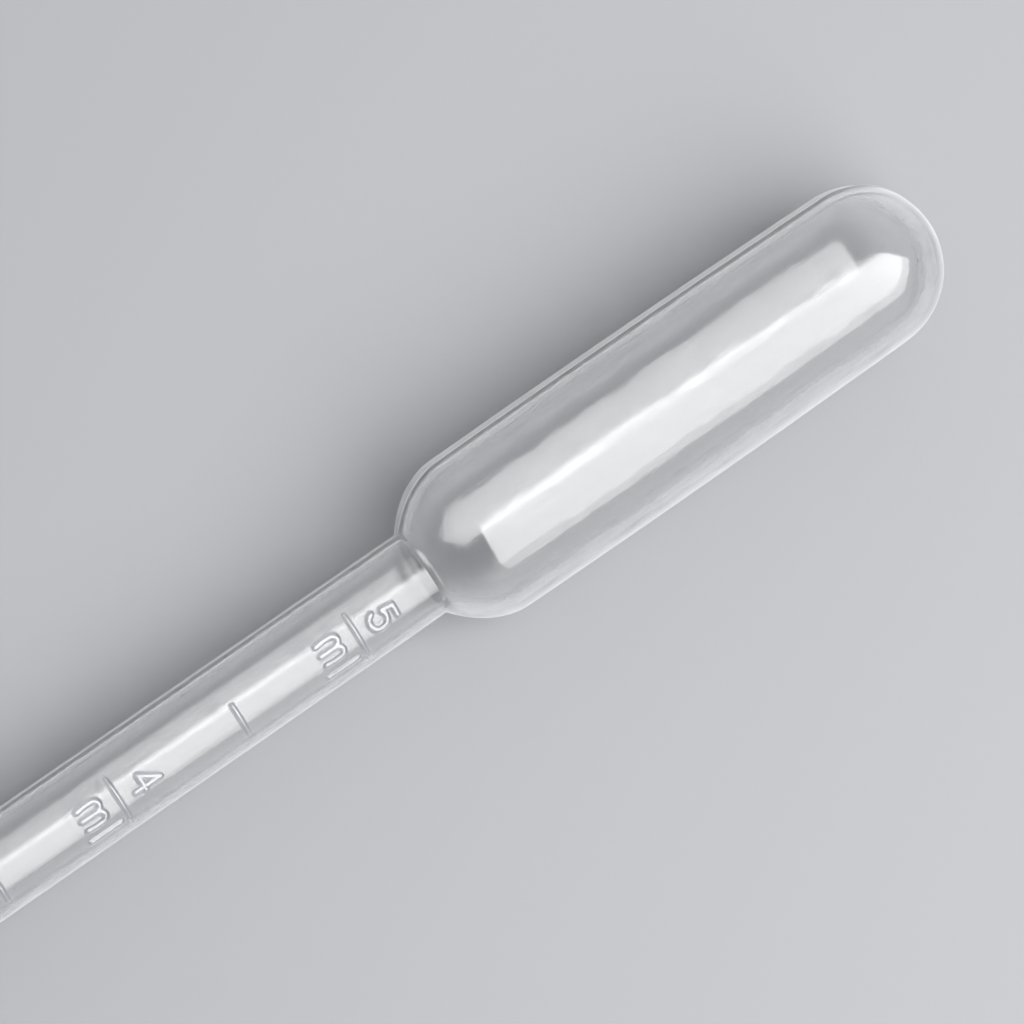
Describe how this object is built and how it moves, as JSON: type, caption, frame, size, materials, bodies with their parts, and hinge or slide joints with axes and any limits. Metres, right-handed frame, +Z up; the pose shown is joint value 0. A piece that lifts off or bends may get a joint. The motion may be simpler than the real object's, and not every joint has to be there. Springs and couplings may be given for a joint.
{
  "type": "plastic dropper pipette",
  "caption": "Squeeze-bulb dropper pipette of translucent polyethylene, with a fine tapered nozzle, a straight graduated stem and a domed bulb.",
  "frame": {"origin": "on the surface that the pipette lies on, under the middle of its bounding box", "axes": "+X along the length from the nozzle to the bulb, which is tipped up by 1.64 degrees; +Z up; the scale on the stem faces up and 23 degrees towards -Y"},
  "size_m": [0.2178, 0.016, 0.017],
  "materials": {
    "polyethylene": "translucent, milky, soft gloss"
  },
  "bodies": {
    "root": {"pipette": "polyethylene"}
  },
  "joints": []
}
